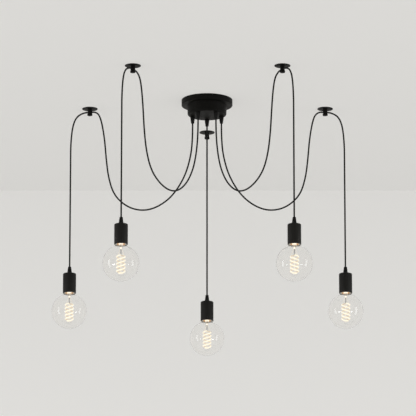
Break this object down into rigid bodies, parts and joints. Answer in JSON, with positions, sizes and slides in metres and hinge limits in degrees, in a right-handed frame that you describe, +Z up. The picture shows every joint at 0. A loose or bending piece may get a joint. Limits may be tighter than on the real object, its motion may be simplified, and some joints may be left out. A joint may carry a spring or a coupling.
{
  "type": "spider chandelier",
  "caption": "Ceiling lamp with a two-tier round canopy and cords swagged over ceiling hooks to lamp cups with clear globe bulbs that screw out.",
  "frame": {"origin": "the middle of the canopy's mounting strap, on the ceiling plane", "axes": "+Z up to the ceiling, -Y to the front of the lamp, +X to the right seen from the front"},
  "size_m": [1.0982, 1.0947, 0.8153],
  "materials": {
    "black_metal": "satin black",
    "black_screw": "satin black",
    "zinc_steel": "zinc plated",
    "block_plastic": "off-white moulded",
    "core_sleeve": "grey sleeve",
    "black_plastic": "satin black",
    "black_cord": "woven black",
    "holder_plastic": "moulded black",
    "brass": "bright",
    "cap_metal": "plated, rolled thread",
    "clear_glass": "clear",
    "glowing_strip": "glowing warm white"
  },
  "bodies": {
    "ceiling_fixture": {"canopy_cover": "black_metal", "mounting_strap": "zinc_steel", "canopy_screws": "black_screw", "terminal_block": "block_plastic", "cord_cores": "core_sleeve", "canopy_grips": "black_plastic", "grip_nuts": "zinc_steel", "ceiling_hooks": "black_metal", "hook_clamp_caps": "black_metal", "swag_cord_back": "black_cord", "swag_cord_left": "black_cord", "swag_cord_front_left": "black_cord", "swag_cord_front_right": "black_cord", "swag_cord_right": "black_cord"},
    "pendant_back": {"drop_cord_back": "black_cord", "cup_grip_back": "black_plastic", "socket_cup_back": "black_metal", "lampholder_body_back": "holder_plastic", "lampholder_contacts_back": "brass"},
    "bulb_thread_back": {"bulb_contact_back": "brass"},
    "bulb_back": {"bulb_glass_back": "clear_glass", "bulb_cap_back": "cap_metal", "bulb_filament_back": "glowing_strip"},
    "pendant_left": {"drop_cord_left": "black_cord", "cup_grip_left": "black_plastic", "socket_cup_left": "black_metal", "lampholder_body_left": "holder_plastic", "lampholder_contacts_left": "brass"},
    "bulb_thread_left": {"bulb_contact_left": "brass"},
    "bulb_left": {"bulb_glass_left": "clear_glass", "bulb_cap_left": "cap_metal", "bulb_filament_left": "glowing_strip"},
    "pendant_front_left": {"drop_cord_front_left": "black_cord", "cup_grip_front_left": "black_plastic", "socket_cup_front_left": "black_metal", "lampholder_body_front_left": "holder_plastic", "lampholder_contacts_front_left": "brass"},
    "bulb_thread_front_left": {"bulb_contact_front_left": "brass"},
    "bulb_front_left": {"bulb_glass_front_left": "clear_glass", "bulb_cap_front_left": "cap_metal", "bulb_filament_front_left": "glowing_strip"},
    "pendant_front_right": {"drop_cord_front_right": "black_cord", "cup_grip_front_right": "black_plastic", "socket_cup_front_right": "black_metal", "lampholder_body_front_right": "holder_plastic", "lampholder_contacts_front_right": "brass"},
    "bulb_thread_front_right": {"bulb_contact_front_right": "brass"},
    "bulb_front_right": {"bulb_glass_front_right": "clear_glass", "bulb_cap_front_right": "cap_metal", "bulb_filament_front_right": "glowing_strip"},
    "pendant_right": {"drop_cord_right": "black_cord", "cup_grip_right": "black_plastic", "socket_cup_right": "black_metal", "lampholder_body_right": "holder_plastic", "lampholder_contacts_right": "brass"},
    "bulb_thread_right": {"bulb_contact_right": "brass"},
    "bulb_right": {"bulb_glass_right": "clear_glass", "bulb_cap_right": "cap_metal", "bulb_filament_right": "glowing_strip"}
  },
  "joints": [
    {"name": "pendant_back_swing", "type": "hinge", "parent": "ceiling_fixture", "child": "pendant_back", "pos_m": [0, 0.41486, -0.0136], "axis": [0, 1, 0], "range_deg": [-20, 20]},
    {"name": "bulb_back_travel", "type": "slide", "parent": "pendant_back", "child": "bulb_thread_back", "axis": [0, 0, -1], "range_m": [0, 0.01086]},
    {"name": "bulb_back_turn", "type": "hinge", "parent": "bulb_thread_back", "child": "bulb_back", "pos_m": [0, 0.48486, 0], "axis": [0, 0, 1], "range_deg": [0, 1080]},
    {"name": "pendant_left_swing", "type": "hinge", "parent": "ceiling_fixture", "child": "pendant_left", "pos_m": [-0.41717, 0.10789, -0.0136], "axis": [-0.9681, 0.2504, 0], "range_deg": [-20, 20]},
    {"name": "bulb_left_travel", "type": "slide", "parent": "pendant_left", "child": "bulb_thread_left", "axis": [0, 0, -1], "range_m": [0, 0.01086]},
    {"name": "bulb_left_turn", "type": "hinge", "parent": "bulb_thread_left", "child": "bulb_left", "pos_m": [-0.48494, 0.12541, 0], "axis": [0, 0, 1], "range_deg": [0, 1080]},
    {"name": "pendant_front_left_swing", "type": "hinge", "parent": "ceiling_fixture", "child": "pendant_front_left", "pos_m": [-0.25445, -0.42516, -0.0136], "axis": [-0.5135, -0.8581, 0], "range_deg": [-20, 20]},
    {"name": "bulb_front_left_travel", "type": "slide", "parent": "pendant_front_left", "child": "bulb_thread_front_left", "axis": [0, 0, -1], "range_m": [0, 0.01086]},
    {"name": "bulb_front_left_turn", "type": "hinge", "parent": "bulb_thread_front_left", "child": "bulb_front_left", "pos_m": [-0.2904, -0.48523, 0], "axis": [0, 0, 1], "range_deg": [0, 1080]},
    {"name": "pendant_front_right_swing", "type": "hinge", "parent": "ceiling_fixture", "child": "pendant_front_right", "pos_m": [0.25891, -0.425, -0.0136], "axis": [0.5203, -0.854, 0], "range_deg": [-20, 20]},
    {"name": "bulb_front_right_travel", "type": "slide", "parent": "pendant_front_right", "child": "bulb_thread_front_right", "axis": [0, 0, -1], "range_m": [0, 0.01086]},
    {"name": "bulb_front_right_turn", "type": "hinge", "parent": "bulb_thread_front_right", "child": "bulb_front_right", "pos_m": [0.29533, -0.48478, 0], "axis": [0, 0, 1], "range_deg": [0, 1080]},
    {"name": "pendant_right_swing", "type": "hinge", "parent": "ceiling_fixture", "child": "pendant_right", "pos_m": [0.42078, 0.1078, -0.0136], "axis": [0.9687, 0.2482, 0], "range_deg": [-20, 20]},
    {"name": "bulb_right_travel", "type": "slide", "parent": "pendant_right", "child": "bulb_thread_right", "axis": [0, 0, -1], "range_m": [0, 0.01086]},
    {"name": "bulb_right_turn", "type": "hinge", "parent": "bulb_thread_right", "child": "bulb_right", "pos_m": [0.48859, 0.12518, 0], "axis": [0, 0, 1], "range_deg": [0, 1080]}
  ],
  "couplings": [
    {"joint": "bulb_back_travel", "follows": "bulb_back_turn", "m_per_rad": 0.00057614},
    {"joint": "bulb_left_travel", "follows": "bulb_left_turn", "m_per_rad": 0.00057614},
    {"joint": "bulb_front_left_travel", "follows": "bulb_front_left_turn", "m_per_rad": 0.00057614},
    {"joint": "bulb_front_right_travel", "follows": "bulb_front_right_turn", "m_per_rad": 0.00057614},
    {"joint": "bulb_right_travel", "follows": "bulb_right_turn", "m_per_rad": 0.00057614}
  ]
}
